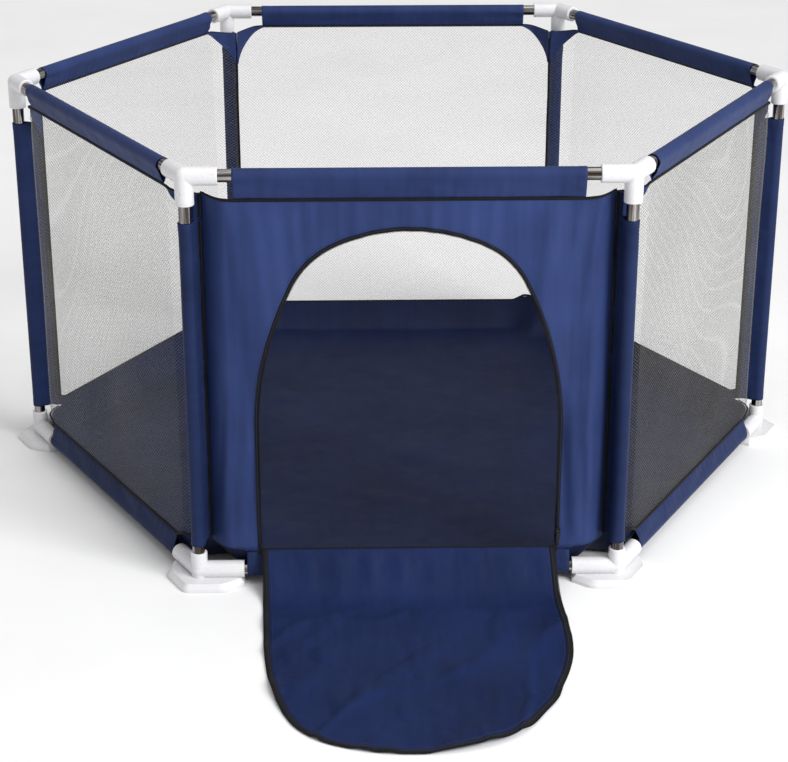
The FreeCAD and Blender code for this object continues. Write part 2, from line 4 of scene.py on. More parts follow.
import bpy
import numpy as np
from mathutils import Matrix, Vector


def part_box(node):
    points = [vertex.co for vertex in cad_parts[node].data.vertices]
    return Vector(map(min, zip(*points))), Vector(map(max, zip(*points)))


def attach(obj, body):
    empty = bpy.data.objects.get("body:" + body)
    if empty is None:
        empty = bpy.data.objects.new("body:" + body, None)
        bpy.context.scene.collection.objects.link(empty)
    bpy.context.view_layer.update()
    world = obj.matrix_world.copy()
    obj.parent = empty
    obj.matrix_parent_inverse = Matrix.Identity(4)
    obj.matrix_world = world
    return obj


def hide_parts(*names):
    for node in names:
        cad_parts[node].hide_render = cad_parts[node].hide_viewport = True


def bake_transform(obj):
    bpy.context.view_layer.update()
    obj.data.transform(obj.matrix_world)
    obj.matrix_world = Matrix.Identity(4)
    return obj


# A six-sided play yard. Sides are numbered as in the CAD model: side 1 is the door side,
# which faces -Y, and the others follow anticlockwise seen from above. Everything on a side
# is worked out along the side, outwards from the rails' plane and up, and then turned.

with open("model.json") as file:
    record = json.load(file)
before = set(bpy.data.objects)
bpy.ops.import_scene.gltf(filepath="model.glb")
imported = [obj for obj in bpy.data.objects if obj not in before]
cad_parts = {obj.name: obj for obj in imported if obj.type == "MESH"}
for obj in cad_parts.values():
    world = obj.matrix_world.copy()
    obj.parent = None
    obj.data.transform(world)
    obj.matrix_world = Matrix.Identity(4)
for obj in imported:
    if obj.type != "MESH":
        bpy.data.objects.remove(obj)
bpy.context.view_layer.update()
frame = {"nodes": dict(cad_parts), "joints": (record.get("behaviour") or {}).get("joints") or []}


# ---------------------------------------------------------------- sizes, from the frame

def middle(node, axis):
    """The middle of a CAD node's box along one axis."""
    low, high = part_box(node)
    return (low[axis] + high[axis]) / 2


SIDES = range(1, 7)
SIDE = middle("post_3", 0)
APOTHEM = SIDE * math.cos(math.pi / 6)
TUBE = (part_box("post_3")[1].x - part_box("post_3")[0].x) / 2
TOP_RAIL = middle("top_rail_1", 2)
LOW_RAIL = middle("bottom_rail_1", 2)
TOP_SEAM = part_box("top_sleeve_1")[0].z
LOW_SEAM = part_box("bottom_sleeves")[1].z
TOP_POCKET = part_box("top_sleeve_1")[1].x
LOW_POCKET = TOP_POCKET - 0.0055    # half the length of a bottom pocket
POST_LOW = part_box("post_sleeve_3")[0].z
POST_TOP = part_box("post_sleeve_3")[1].z
POST_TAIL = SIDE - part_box("post_sleeve_3")[0].x
POST_JOIN = POST_TAIL - 0.002   # from a post's axis in to where two panels meet
SEAM_HALF = 0.0014              # half the thickness of what is sewn together there
JOIN = SIDE / 2 - POST_JOIN / 2 - SEAM_HALF
JOIN_DEPTH = POST_JOIN * math.cos(math.pi / 6) - 0.0008
NOTCH_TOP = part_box("door_panel")[1].z - 0.008

POCKET = TUBE + 0.0007          # radius of the cloth round a tube
CLOTH = 0.0007                  # thickness of the coated cloth
BEND = 0.267                    # from the middle of a side to where the panel turns in
DOOR_NOTCH = 0.007              # how far the door wall's lower edge rises to the posts
NET_NOTCH = 0.011               # the same for a net wall, which clears its feet further
DIP = 0.006                     # how far a net's upper edge drops towards the posts
POST_SEAM = 0.022               # from a post's axis in to the seam of its pocket
TOP_DROP = -0.003               # the door wall's top seam, from the CAD model's
TOP_RISE = 0.004                # the net walls' top seams

FLAP_GAP = 0.001                # between the flap's edge and the opening's
DOOR_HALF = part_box("door_flap")[1].x + FLAP_GAP
DOOR_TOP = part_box("door_zip")[1].z - 0.008
SILL = float(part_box("door_zip")[0].z)
DOOR_SPRING = 0.25              # height where the opening's sides start to curve
DOOR_BREAK = 0.48               # height where the side's curve meets the shoulder's
SIDE_BOW = 0.52                 # radius of the side's curve
SHOULDER = 0.13                 # radius of the shoulder's curve
ZIP_WIDTH = 0.0055
FLAP_TAPE = 0.0075
FLAP_SLOPE = math.radians(45)   # how steeply the flap leaves the sill

STITCH_STEP = 0.0036
STITCH_LENGTH = 0.0027
THREAD_THICK = 0.0005
COIL_STEP = 0.0016
ARCH_STEP = 0.004               # between the points that draw the door's outline

NET_SPACING = 0.004
NET_THREAD = 0.00016            # radius of the net's threads
NET_STRETCH = 17                # millimetres between the points of a thread

HINGE = frame["joints"][0]["pos_m"]
FOLD = frame["joints"][1]["pos_m"]


# ---------------------------------------------------------------- places and fields

def turned(angle, x, y, z):
    """Points turned about Z."""
    c = math.cos(angle)
    s = math.sin(angle)
    return np.stack([x * c - y * s, x * s + y * c, z + 0 * x], -1)


def on_side(side, x, out, z):
    """Points along a side, outwards from the rails' plane and up."""
    return turned(math.radians(60 * (side - 1)), x, -(APOTHEM + out), z)


def at_corner(corner, out, aside, z):
    """Points outwards from a post's axis, aside and up."""
    return turned(math.radians(240 + 60 * (corner - 1)), SIDE + out, aside, z)


def ripple(x, y, seed, waves=9):
    """A smooth random field from about -1 to 1, with waves about one unit long."""
    draw = np.random.default_rng(seed)
    total = 0
    for _ in range(waves):
        angle = draw.uniform(0, math.pi)
        pitch = draw.uniform(0.7, 2.2)
        phase = draw.uniform(0, 2 * math.pi)
        total = total + np.cos(2 * math.pi * (x * math.cos(angle) + y * math.sin(angle))
                               / pitch + phase)
    return total / math.sqrt(waves * 2)


def pucker(x, pitch, seed):
    """Uneven gathers along a seam, from 0 to 1."""
    drift = 0.45 * ripple(x / (5 * pitch), 0 * x, seed)
    height = 0.55 + 0.45 * ripple(x / (3 * pitch), 0 * x, seed + 1)
    return np.clip(height, 0.05, 1.2) * (0.5 + 0.5 * np.cos(
        2 * math.pi * (x / pitch + drift))) ** 1.4


def smooth(t):
    """An even rise from 0 to 1 that starts and ends level."""
    t = np.clip(t, 0, 1)
    return t * t * (3 - 2 * t)


def side_normal(side):
    """The direction that faces outwards from a side."""
    return on_side(side, 0.0, 1.0, 0.0) - on_side(side, 0.0, 0.0, 0.0)


def reach_along(line):
    """How far along a line of points each of them lies."""
    gaps = np.linalg.norm(np.diff(line, axis=0), axis=1)
    return np.concatenate([[0], np.cumsum(gaps)])


def directions(line):
    """The unit direction of a line at each of its points."""
    along = np.gradient(line, axis=0)
    return along / (np.linalg.norm(along, axis=1, keepdims=True) + 1e-12)


# ---------------------------------------------------------------- mesh helpers

def new_object(name, points, faces, uv, material):
    """A mesh object from arrays; uv holds each point's place on the cloth, in metres."""
    mesh = bpy.data.meshes.new(name)
    mesh.from_pydata(np.asarray(points, float).reshape(-1, 3).tolist(), [],
                     np.asarray(faces).tolist() if hasattr(faces, "shape") else faces)
    if uv is not None:
        layer = mesh.uv_layers.new(name="cloth")
        loops = np.empty(len(mesh.loops), np.int32)
        mesh.loops.foreach_get("vertex_index", loops)
        layer.data.foreach_set("uv", np.asarray(uv, np.float32).reshape(-1, 2)[loops].ravel())
    mesh.shade_smooth()
    thing = bpy.data.objects.new(name, mesh)
    bpy.context.scene.collection.objects.link(thing)
    mesh.materials.append(material)
    return thing


def grid_faces(rows, cols, closed=False):
    """Quads between the rows and columns of a grid of points; closed joins the last
    column to the first."""
    i, j = np.meshgrid(np.arange(rows - 1), np.arange(cols if closed else cols - 1),
                       indexing="ij")
    a = i * cols + j
    b = i * cols + (j + 1) % cols
    return np.stack([a, b, b + cols, a + cols], -1).reshape(-1, 4)


def sheet_object(name, points, uv, material, thick=CLOTH, faces=None, back=None):
    """A cloth sheet from a grid of points, given its thickness; back is the material of
    its other face."""
    if faces is None:
        faces = grid_faces(*points.shape[:2])
    thing = new_object(name, points, faces, uv, material)
    solid = thing.modifiers.new("thickness", "SOLIDIFY")
    solid.thickness = thick
    solid.offset = 0.0
    solid.use_even_offset = False
    if back:
        thing.data.materials.append(back)
        solid.material_offset = 1
    return thing


def tube_along(lines, radius, sides, normal):
    """Points and faces of thin closed tubes round lines that lie across one normal."""
    all_points = []
    all_faces = []
    start = 0
    for line in lines:
        along = directions(line)
        across = np.cross(along, normal)
        across /= np.linalg.norm(across, axis=1, keepdims=True) + 1e-12
        up = np.cross(across, along)
        angles = 2 * math.pi * (np.arange(sides) + 0.5) / sides
        ring = (line[:, None] + radius * (np.cos(angles)[None, :, None] * across[:, None]
                                          + np.sin(angles)[None, :, None] * up[:, None]))
        count = len(line)
        all_points.append(ring.reshape(-1, 3))
        quads = grid_faces(count, sides, closed=True) + start
        all_faces.extend(quads.tolist())
        all_faces.append([start + k for k in range(sides)][::-1])
        all_faces.append([start + (count - 1) * sides + k for k in range(sides)])
        start += count * sides
    return np.concatenate(all_points), all_faces


def capsules(centres, along, normal, length, width, height):
    """Points and faces of many small pointed bars, such as stitches or zip teeth."""
    across = np.cross(along, normal)
    rings = []
    for place, size in ((-0.5, 0.45), (-0.25, 1.0), (0.25, 1.0), (0.5, 0.45)):
        for a, b in ((1, 0), (0, 1), (-1, 0), (0, -1)):
            rings.append(centres + along * (place * length)
                         + across * (a * size * width / 2)
                         + normal * (b * size * height / 2))
    points = np.stack(rings, 1)
    count = len(centres)
    one = [[r * 4 + k, r * 4 + (k + 1) % 4, r * 4 + 4 + (k + 1) % 4, r * 4 + 4 + k]
           for r in range(3) for k in range(4)] + [[3, 2, 1, 0], [12, 13, 14, 15]]
    faces = (np.array(one)[None] + 16 * np.arange(count)[:, None, None]).reshape(-1, 4)
    return points.reshape(-1, 3), faces


def along_line(line, step, start):
    """Even places along a line, start in from its ends, with their directions."""
    reach = reach_along(line)
    places = np.arange(start, reach[-1] - start, step)
    points = np.stack([np.interp(places, reach, line[:, k]) for k in range(3)], -1)
    ahead = np.stack([np.interp(places + step * 0.3, reach, line[:, k])
                      for k in range(3)], -1)
    behind = np.stack([np.interp(places - step * 0.3, reach, line[:, k])
                       for k in range(3)], -1)
    along = ahead - behind
    along /= np.linalg.norm(along, axis=1, keepdims=True) + 1e-12
    return points, along


# ---------------------------------------------------------------- materials

class Nodes:
    """Short ways to build a material's nodes."""

    def __init__(self, name):
        self.material = bpy.data.materials.new(name)
        self.material.use_nodes = True
        self.tree = self.material.node_tree
        self.shader = self.tree.nodes["Principled BSDF"]

    def add(self, kind, **settings):
        node = self.tree.nodes.new(kind)
        for key, value in settings.items():
            if key in node.inputs:
                node.inputs[key].default_value = value
            else:
                setattr(node, key, value)
        return node

    def link(self, source, target):
        self.tree.links.new(source, target)

    def place(self):
        return self.add("ShaderNodeTexCoord").outputs["Object"]

    def cloth_place(self):
        return self.add("ShaderNodeUVMap", uv_map="cloth").outputs["UV"]

    def scaled(self, vector, scale, turn=0.0):
        node = self.add("ShaderNodeMapping")
        node.inputs["Scale"].default_value = scale
        node.inputs["Rotation"].default_value = (0, 0, turn)
        self.link(vector, node.inputs["Vector"])
        return node.outputs["Vector"]

    def noise(self, vector, scale, detail=3.0, rough=0.5):
        node = self.add("ShaderNodeTexNoise", Scale=scale, Detail=detail, Roughness=rough)
        self.link(vector, node.inputs["Vector"])
        return node.outputs["Fac"]

    def wave(self, vector, scale, direction, distortion=0.0):
        node = self.add("ShaderNodeTexWave", wave_type="BANDS", bands_direction=direction,
                        Scale=scale, Distortion=distortion)
        self.link(vector, node.inputs["Vector"])
        return node.outputs["Fac"]

    def math(self, operation, a, b=None):
        node = self.add("ShaderNodeMath", operation=operation)
        for socket, value in zip(node.inputs, (a, b)):
            if value is None:
                continue
            if isinstance(value, (int, float)):
                socket.default_value = value
            else:
                self.link(value, socket)
        return node.outputs[0]

    def ramp(self, fac, *stops):
        node = self.add("ShaderNodeValToRGB")
        points = node.color_ramp.elements
        while len(points) < len(stops):
            points.new(0.5)
        for point, (place, colour) in zip(points, stops):
            point.position = place
            point.color = (*colour, 1)
        self.link(fac, node.inputs["Fac"])
        return node.outputs["Color"]

    def spread(self, fac, low, high):
        node = self.add("ShaderNodeMapRange")
        node.inputs["To Min"].default_value = low
        node.inputs["To Max"].default_value = high
        self.link(fac, node.inputs["Value"])
        return node.outputs["Result"]

    def bump(self, height, distance, strength, after=None):
        node = self.add("ShaderNodeBump", Strength=strength, Distance=distance)
        self.link(height, node.inputs["Height"])
        if after is not None:
            self.link(after, node.inputs["Normal"])
        return node.outputs["Normal"]

    def finish(self, colour, rough, normal=None, **constants):
        self.link(colour, self.shader.inputs["Base Color"])
        self.link(rough, self.shader.inputs["Roughness"])
        if normal is not None:
            self.link(normal, self.shader.inputs["Normal"])
        for key, value in constants.items():
            self.shader.inputs[key.replace("_", " ")].default_value = value
        return self.material


WEAVE_SCALE = 95                # of the wave texture that draws the threads


def weave(n, cloth):
    """Over-and-under threads of a plain weave, as a height from 0 to 1."""
    return n.math("MAXIMUM", n.wave(cloth, WEAVE_SCALE, "X"), n.wave(cloth, WEAVE_SCALE, "Y"))


def cloth_material(name, plain, crinkle=0.0015):
    """Coated polyester cloth: a fine weave, soft crinkles, paler wear and a faint sheen."""
    n = Nodes(name)
    cloth = n.cloth_place()
    body = n.place()
    patches = n.noise(body, 5.5, 4, 0.55)
    streaks = n.noise(n.scaled(cloth, (90, 7, 1)), 1.0, 3)
    tone = n.math("ADD", n.math("MULTIPLY", patches, 0.7), n.math("MULTIPLY", streaks, 0.3))
    threads = weave(n, cloth)
    grain = n.math("MULTIPLY", threads, 0.04)
    deep, worn = ([channel * share for channel in plain] for share in (0.66, 1.32))
    colour = n.ramp(n.math("ADD", tone, n.math("SUBTRACT", grain, 0.02)),
                    (0.3, deep), (0.52, plain), (0.75, worn))
    folds = n.noise(n.scaled(body, (1, 1, 0.55)), 42, 3, 0.45)
    sharp = n.math("ABSOLUTE", n.math("SUBTRACT", n.noise(body, 17, 2, 0.4), 0.5))
    normal = n.bump(threads, 0.00008, 0.3)
    normal = n.bump(folds, crinkle, 0.5, normal)
    normal = n.bump(sharp, crinkle * 2.4, 0.45, normal)
    return n.finish(colour, n.spread(n.noise(body, 30, 3), 0.41, 0.59),
                    normal, Sheen_Weight=0.03, Sheen_Roughness=0.35,
                    Sheen_Tint=(0.4, 0.5, 0.9, 1), Specular_IOR_Level=0.09)


def tape_material(name, dark, light, scale):
    """Woven zip or binding tape with a ribbed twill."""
    n = Nodes(name)
    cloth = n.cloth_place()
    twill = n.wave(n.scaled(cloth, (1, 1, 1), 0.9), scale, "X", 0.4)
    fuzz = n.noise(n.place(), 60, 3)
    colour = n.ramp(n.math("ADD", n.math("MULTIPLY", twill, 0.3),
                           n.math("MULTIPLY", fuzz, 0.7)), (0.25, dark), (0.8, light))
    return n.finish(colour, n.spread(fuzz, 0.6, 0.8), n.bump(twill, 0.0002, 0.5),
                    Sheen_Weight=0.03, Specular_IOR_Level=0.15)


def net_material():
    """Pale knitted thread."""
    n = Nodes("net_thread")
    body = n.place()
    tint = n.noise(body, 7, 3)
    colour = n.ramp(tint, (0.3, (0.17, 0.165, 0.16)), (0.7, (0.23, 0.225, 0.215)))
    twist = n.wave(body, 90, "DIAGONAL", 2.0)
    return n.finish(colour, n.spread(n.noise(body, 50), 0.6, 0.8),
                    n.bump(twist, 0.0001, 0.5), Specular_IOR_Level=0.3)


def plastic_material():
    """Glossy moulded plastic, faintly translucent, with flow marks and fine scuffs."""
    n = Nodes("moulded_plastic")
    body = n.place()
    flow = n.noise(n.scaled(body, (1, 1, 2.5)), 14, 4, 0.5)
    colour = n.ramp(flow, (0.3, (0.67, 0.665, 0.69)), (0.65, (0.73, 0.725, 0.74)))
    scuffs = n.noise(n.scaled(body, (1, 6, 1), 0.5), 160, 4, 0.7)
    orange_peel = n.noise(body, 240, 2)
    normal = n.bump(orange_peel, 0.0002, 0.12)
    normal = n.bump(flow, 0.0012, 0.15, normal)
    return n.finish(colour, n.spread(scuffs, 0.2, 0.36), normal,
                    Subsurface_Weight=0.12, Subsurface_Scale=0.004,
                    Specular_IOR_Level=0.5, Coat_Weight=0.15, Coat_Roughness=0.12)


def steel_material(name, lie):
    """Polished steel tube with painted reflections in its colour: dark and bright bands along
    it; lie stretches them.
    """
    n = Nodes(name)
    body = n.place()
    # painted reflection: noise stretched along the tube, for dark and bright reflected bands
    painted_reflection_bands = n.noise(n.scaled(body, lie), 6, 2, 0.5)
    lines = n.noise(n.scaled(body, [4 * share for share in lie]), 6, 3, 0.6)
    haze = n.noise(body, 25, 3)
    tone = n.math("ADD", n.math("MULTIPLY", painted_reflection_bands, 0.75), n.math("MULTIPLY", lines, 0.25))
    # the ramp paints the reflections into the base colour: near black in the dark bands, pale in
    # the bright ones
    colour = n.ramp(tone, (0.44, (0.07, 0.055, 0.05)), (0.6, (0.52, 0.50, 0.49)))
    return n.finish(colour, n.spread(haze, 0.14, 0.26), n.bump(lines, 0.0002, 0.25),
                    Metallic=1.0)


def lacquer_material():
    """Black lacquered zinc, worn on the edges."""
    n = Nodes("zip_lacquer")
    body = n.place()
    worn = n.noise(body, 320, 4, 0.7)
    colour = n.ramp(worn, (0.55, (0.014, 0.014, 0.017)), (0.8, (0.16, 0.15, 0.15)))
    return n.finish(colour, n.spread(worn, 0.25, 0.5), n.bump(worn, 0.0001, 0.3),
                    Metallic=0.6)


def thread_material():
    """Sewing thread, a little lighter than the cloth."""
    n = Nodes("sewing_thread")
    twist = n.wave(n.place(), 260, "DIAGONAL", 1.0)
    colour = n.ramp(twist, (0.2, (0.012, 0.018, 0.05)), (0.8, (0.05, 0.065, 0.15)))
    return n.finish(colour, n.spread(twist, 0.5, 0.7), n.bump(twist, 0.0001, 0.5))


def paper_material():
    """The pale, plain studio floor."""
    n = Nodes("studio_floor")
    haze = n.noise(n.place(), 3, 3)
    colour = n.ramp(haze, (0.3, (0.86, 0.86, 0.86)), (0.7, (0.9, 0.9, 0.9)))
    return n.finish(colour, n.spread(haze, 0.75, 0.85))


NAVY = cloth_material("navy_cloth", (0.023, 0.038, 0.118))
# painted shade: a darker copy of the navy cloth for the bottom pockets, the post pockets and the
# seam heads, which lie in shade
NAVY_PAINTED_SHADE = cloth_material("navy_cloth_painted_shade", (0.0135, 0.0235, 0.076))
# painted light: a lighter copy of the navy cloth for the door wall, standing in for light that
# shines through its single layer
NAVY_WALL_PAINTED_LIGHT = cloth_material("wall_cloth_painted_light", (0.0265, 0.0445, 0.140))
# painted shade: a darker copy of the navy cloth for the flap's inner face, which lies upwards
# when the flap is open
NAVY_INNER_PAINTED_SHADE = cloth_material("flap_inner_cloth_painted_shade", (0.0080, 0.0170, 0.068), crinkle=0.0030)
NAVY_FLOOR = cloth_material("floor_cloth", (0.008, 0.013, 0.042))
TAPE = tape_material("black_tape", (0.003, 0.003, 0.004), (0.010, 0.0095, 0.011), 75)
NET = net_material()
PLASTIC = plastic_material()
THREAD = thread_material()
LACQUER = lacquer_material()
COIL = tape_material("zip_coil", (0.004, 0.004, 0.005), (0.018, 0.017, 0.018), 200)


def settle(thing, body):
    """Ride on a body."""
    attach(thing, body)
    return thing


# ---------------------------------------------------------------- the carried-over frame

def dress_frame():
    """Materials for the CAD pieces that stay in view."""
    steel_up = steel_material("steel_upright", (22, 22, 0.6))
    steel_flat = steel_material("steel_rail", (0.6, 0.6, 22))
    for name, thing in frame["nodes"].items():
        if name.startswith("post_") and "sleeve" not in name:
            material = steel_up
        elif "rail_" in name:
            material = steel_flat
        elif name.startswith(("top_connector", "foot_")):
            material = PLASTIC
        elif name in ("zip_slider", "zip_pull"):
            material = LACQUER
        else:
            material = NAVY
        thing.data.materials.clear()
        thing.data.materials.append(material)


# ---------------------------------------------------------------- pockets round the tubes

def pocket_profile(drop, tail):
    """A pocket's section: from one edge of the tail, round the tube, to the other edge.
    Gives its points, sideways and towards the seam, their normals and their distance
    along the cloth."""
    lean = POCKET * POCKET / drop
    first = math.acos(min(1, lean / POCKET))
    angles = np.linspace(first, 2 * math.pi - first, 21)
    round_part = np.stack([POCKET * np.sin(angles), POCKET * np.cos(angles)], -1)
    seam = np.array([CLOTH * 0.55, drop])
    shares = np.linspace(0, 1, 9)[:-1, None]
    straight = seam * (1 - shares) + round_part[0] * shares
    points = np.concatenate([straight, round_part, (straight * [-1, 1])[::-1]])
    if tail > drop:
        extra = np.stack([np.full(5, CLOTH * 0.55), np.linspace(tail, drop, 6)[:-1]], -1)
        points = np.concatenate([extra, points, (extra * [-1, 1])[::-1]])
    along = directions(points)
    normal = np.stack([-along[:, 1], along[:, 0]], -1)
    normal *= np.sign((normal * points).sum(1).mean() + 1e-9)
    return points, normal, reach_along(points)


def pocket_grid(length, drop, tail, seed, columns=150):
    """A pocket along its tube: where each point of the cloth lies, with its wrinkles.
    Gives along, sideways, towards the seam and the flat cloth's own places."""
    points, normal, reach = pocket_profile(drop, tail)
    x = np.linspace(-length / 2, length / 2, columns)
    grid_x, _ = np.meshgrid(x, reach, indexing="ij")
    away = np.abs(points[:, 1] - drop)[None, :] + 0 * grid_x
    round_reach = np.minimum(reach, reach[-1] - reach)[None, :] + 0 * grid_x
    first_half = (np.arange(len(reach)) < len(reach) / 2)[None, :]
    gather = np.where(first_half, pucker(grid_x, 0.016, seed),
                      pucker(grid_x, 0.016, seed + 50))
    on_tube = smooth((round_reach - 0.03) / 0.02)
    height = 0.0012 * gather * np.exp(-away / 0.012) * (away > 0.0008)
    height = height + 0.0009 * ripple(grid_x / 0.05, round_reach / 0.03, seed + 7) \
        * np.exp(-((away - drop * 0.45) / (drop * 0.3)) ** 2)
    ends = np.exp(-(length / 2 - np.abs(grid_x)) / 0.02)
    height = height + 0.0011 * ends * ripple(grid_x / 0.1, round_reach / 0.012, seed + 9)
    height = np.maximum(height, -0.0002 * on_tube - 0.0012 * (1 - on_tube))
    hem = smooth((np.abs(grid_x) - (length / 2 - 0.012)) / 0.0012)
    height = height + 0.00045 * hem
    sideways = points[None, :, 0] + normal[None, :, 0] * height
    towards = points[None, :, 1] + normal[None, :, 1] * height * 0.6
    uv = np.stack([grid_x, reach[None, :] + 0 * grid_x], -1)
    return grid_x, sideways, towards, uv


def rail_pockets():
    """The cloth round the top and bottom rails."""
    for side in SIDES:
        drop = TOP_RAIL - top_seam(side)
        x, aside, down, uv = pocket_grid(2 * TOP_POCKET, drop, drop, 10 * side)
        thing = sheet_object(f"top_pocket_{side}",
                             on_side(side, x, -aside, TOP_RAIL - down), uv, NAVY)
        settle(thing, "root")
        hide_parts(f"top_sleeve_{side}")
        drop = LOW_SEAM - LOW_RAIL
        x, aside, up, uv = pocket_grid(2 * LOW_POCKET, drop, drop, 10 * side + 300)
        # the bottom pockets take the darker copy of the navy cloth: painted shade
        thing = sheet_object(f"bottom_pocket_{side}",
                             on_side(side, x, aside, LOW_RAIL + up), uv, NAVY_PAINTED_SHADE)
        settle(thing, "root")
        if side == 1:
            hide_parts("bottom_sleeves")


def post_pockets():
    """The cloth round the posts, each with a tail that the walls are sewn to."""
    for corner in SIDES:
        length = POST_TOP - POST_LOW
        z, aside, inward, uv = pocket_grid(length, POST_SEAM, POST_TAIL,
                                           10 * corner + 600)
        points = at_corner(corner, -inward, aside, z + (POST_TOP + POST_LOW) / 2)
        # the post pockets take the darker copy of the navy cloth: painted shade
        thing = sheet_object(f"post_pocket_{corner}", points, uv, NAVY_PAINTED_SHADE)
        settle(thing, "root")
        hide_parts(f"post_sleeve_{corner}")


# ---------------------------------------------------------------- wall panels

def top_seam(side):
    """The seam under a top rail: the door wall's pocket hangs a little lower."""
    return TOP_SEAM + (TOP_DROP if side == 1 else TOP_RISE)


def panel_low(x, side):
    """The lower edge of a panel: raised beside the feet, then rounding down to the rail."""
    if side != 1:
        return LOW_SEAM + NET_NOTCH * smooth((np.abs(x) - LOW_POCKET + 0.004) / 0.03)
    t = np.clip((JOIN - np.abs(x)) / (JOIN - LOW_POCKET), 0, 1)
    rise = DOOR_NOTCH * (1 - 0.35 * t ** 2.5) * np.sqrt(1 - t ** 14)
    return LOW_SEAM + np.where(np.abs(x) > LOW_POCKET, rise, 0)


def panel_high(x, side):
    """The upper edge of a panel: the door's rises to the posts, the nets' dip a little."""
    t = np.clip((np.abs(x) - TOP_POCKET) / (JOIN - TOP_POCKET), 0, 1)
    if side == 1:
        return top_seam(1) + (NOTCH_TOP - top_seam(1)) * t ** 1.25
    return top_seam(side) - DIP * smooth(t)


def turn_in(x):
    """How far a panel lies inside the rails' plane where it turns in to the posts."""
    t = np.clip((np.abs(x) - BEND) / (JOIN - BEND), 0, 1)
    return -JOIN_DEPTH * (0.25 * t + 0.75 * t * t)


def seam_fade(side, x, z, reach):
    """0 at a panel's seams and 1 away from them."""
    top = 1 - np.exp(-np.clip(panel_high(x, side) - z, 0, 1) / reach)
    low = 1 - np.exp(-np.clip(z - panel_low(x, side), 0, 1) / reach)
    sides = 1 - np.exp(-np.clip(JOIN - np.abs(x), 0, 1) / (reach * 0.6))
    return top * low * sides


def net_out(side, x, z):
    """Where a net wall lies, outwards from the rails' plane."""
    billow = 0.0045 * ripple(x / 0.33, z / 0.4, 40 + side)
    slack = 0.0014 * pucker(x, 0.03, 70 + side) * np.exp(-(top_seam(side) - z) / 0.05)
    return turn_in(x) + (billow - slack) * seam_fade(side, x, z, 0.05)


def door_out(x, z):
    """Where the door wall lies: gathered under the top seam, with soft upright folds and
    wrinkles that run down from the opening towards the feet."""
    fade = seam_fade(1, x, z, 0.022)
    below = np.clip(top_seam(1) - z, 0, 1)
    fan = x * (1 + 0.5 * below)
    gather = 0.0062 * pucker(fan, 0.034, 5) * np.exp(-below / 0.085)
    gather = gather + 0.0034 * pucker(x, 0.046, 11) * np.exp(-(z - LOW_SEAM) / 0.09)
    upright = 0.0075 * ripple(fan / 0.11, z / 0.8, 21) * smooth((np.abs(x) - 0.13) / 0.09)
    billow = 0.0045 * ripple(x / 0.3, z / 0.35, 22)
    beside = np.abs(x) - 0.2 - 0.12 * np.clip(0.33 - z, 0, 1)
    creases = 0.0075 * np.clip(ripple(beside / 0.042, z / 0.42, 23) - 0.1, 0, 1) \
        * smooth((0.36 - z) / 0.16)
    return turn_in(x) + (gather + upright + billow + creases) * fade


def arch_line(inset, base, step=ARCH_STEP):
    """The door's outline in the panel's plane, drawn in by inset: even points from the
    right end of the sill over the top to the left end."""
    half = DOOR_HALF - inset
    bow = SIDE_BOW - inset
    rise = (DOOR_BREAK - DOOR_SPRING) * bow / SIDE_BOW
    run = math.sqrt(bow * bow - rise * rise)
    bend = SHOULDER - inset
    top = DOOR_TOP - inset
    centre_x = half - bow + run * (1 - bend / bow)
    centre_z = DOOR_SPRING + rise * (1 - bend / bow)
    drop = top - centre_z
    crown = (centre_x ** 2 + drop ** 2 - bend ** 2) / (2 * (drop - bend))
    first = math.asin(rise / bow)
    second = math.atan2(crown - drop, centre_x)

    def arc(x, z, radius, start, end):
        angle = np.linspace(start, end, 60)
        return np.stack([x + radius * np.cos(angle), z + radius * np.sin(angle)], -1)

    straight = np.stack([np.full(30, half), np.linspace(base, DOOR_SPRING, 30)], -1)
    right = np.concatenate([straight, arc(half - bow, DOOR_SPRING, bow, 0, first),
                            arc(centre_x, centre_z, bend, first, second),
                            arc(0, top - crown, crown, second, math.pi / 2)])
    line = np.concatenate([right, (right * [-1, 1])[::-1]])
    line = line[np.concatenate([[True], np.diff(reach_along(line)) > 1e-7])]
    reach = reach_along(line)
    places = np.linspace(0, reach[-1], int(reach[-1] / step) + 1)
    return np.stack([np.interp(places, reach, line[:, k]) for k in range(2)], -1)


def outward(line):
    """Unit directions in the plane, away from the middle of the arch."""
    along = directions(line)
    return np.stack([along[:, 1], -along[:, 0]], -1)


def frame_points(inner, columns):
    """Points from the arch out to the panel's edge, in rows along the arch. The arch's
    first stretch fans out to the right edge, its last as much to the left one and the
    rest to the top."""
    share = np.linspace(0, 1, len(inner))
    x_edge = JOIN - 0.0004
    stretch = 0.36
    outer = np.zeros_like(inner)
    up = np.clip(share / stretch, 0, 1)
    down = np.clip((share - (1 - stretch)) / stretch, 0, 1)
    across = np.clip((share - stretch) / (1 - 2 * stretch), 0, 1)
    outer[:, 0] = x_edge * (1 - 2 * across)
    low = panel_low(np.array([x_edge]), 1)[0]
    high = panel_high(outer[:, 0], 1)
    outer[:, 1] = low + (high - low) * np.where(share < 0.5, up, 1 - down)
    fan = np.linspace(0, 1, columns)[None, :, None]
    return inner[:, None] * (1 - fan) + outer[:, None] * fan


def door_panel():
    """The solid cloth wall, in rows that fan out from the arch to its edges."""
    inner = arch_line(0, SILL)
    inner[0, 1] = inner[-1, 1] = LOW_SEAM
    grid = frame_points(inner, 46)
    x = grid[..., 0]
    z = np.maximum(grid[..., 1], panel_low(grid[..., 0], 1))
    out = door_out(x, z)
    # the door wall takes the lighter copy of the navy cloth: painted light
    thing = sheet_object("door_wall", on_side(1, x, out, z), np.stack([x, z], -1),
                         NAVY_WALL_PAINTED_LIGHT)
    settle(thing, "root")
    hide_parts("door_panel")


